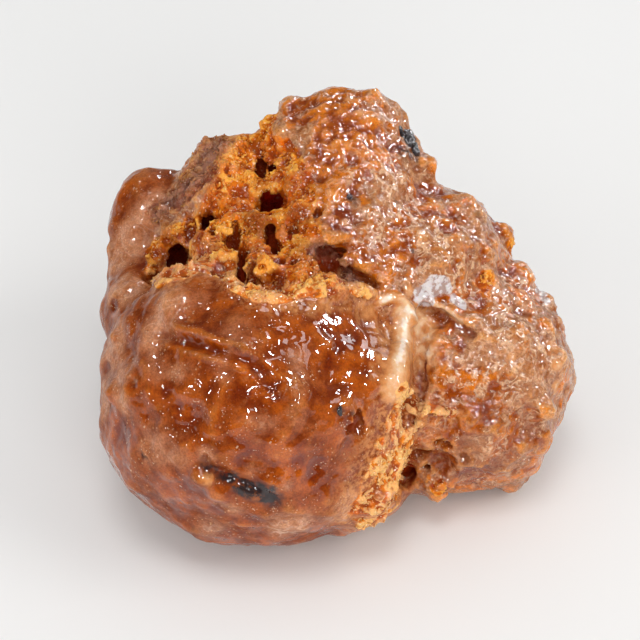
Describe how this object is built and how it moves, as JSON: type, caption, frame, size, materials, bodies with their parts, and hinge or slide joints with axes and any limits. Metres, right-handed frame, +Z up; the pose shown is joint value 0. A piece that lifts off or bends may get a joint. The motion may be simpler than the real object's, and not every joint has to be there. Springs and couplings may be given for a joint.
{
  "type": "doughnut hole",
  "caption": "Glazed blueberry doughnut hole, a lumpy ball of fried cake with a smooth front lobe, torn open along the top so that its crumb shows.",
  "frame": {"origin": "on the surface that the piece rests on, under the middle of its bounding box", "axes": "+Z up; +X to the viewer's right and -Y towards the viewer, as seen from the smooth front lobe"},
  "size_m": [0.0434, 0.0398, 0.0313],
  "materials": {
    "glazed_dough": "fried brown dough under a thin sugar glaze, glossy where the glaze is wet and satin where it has dried"
  },
  "bodies": {
    "root": {"doughnut_hole": "glazed_dough"}
  },
  "joints": []
}
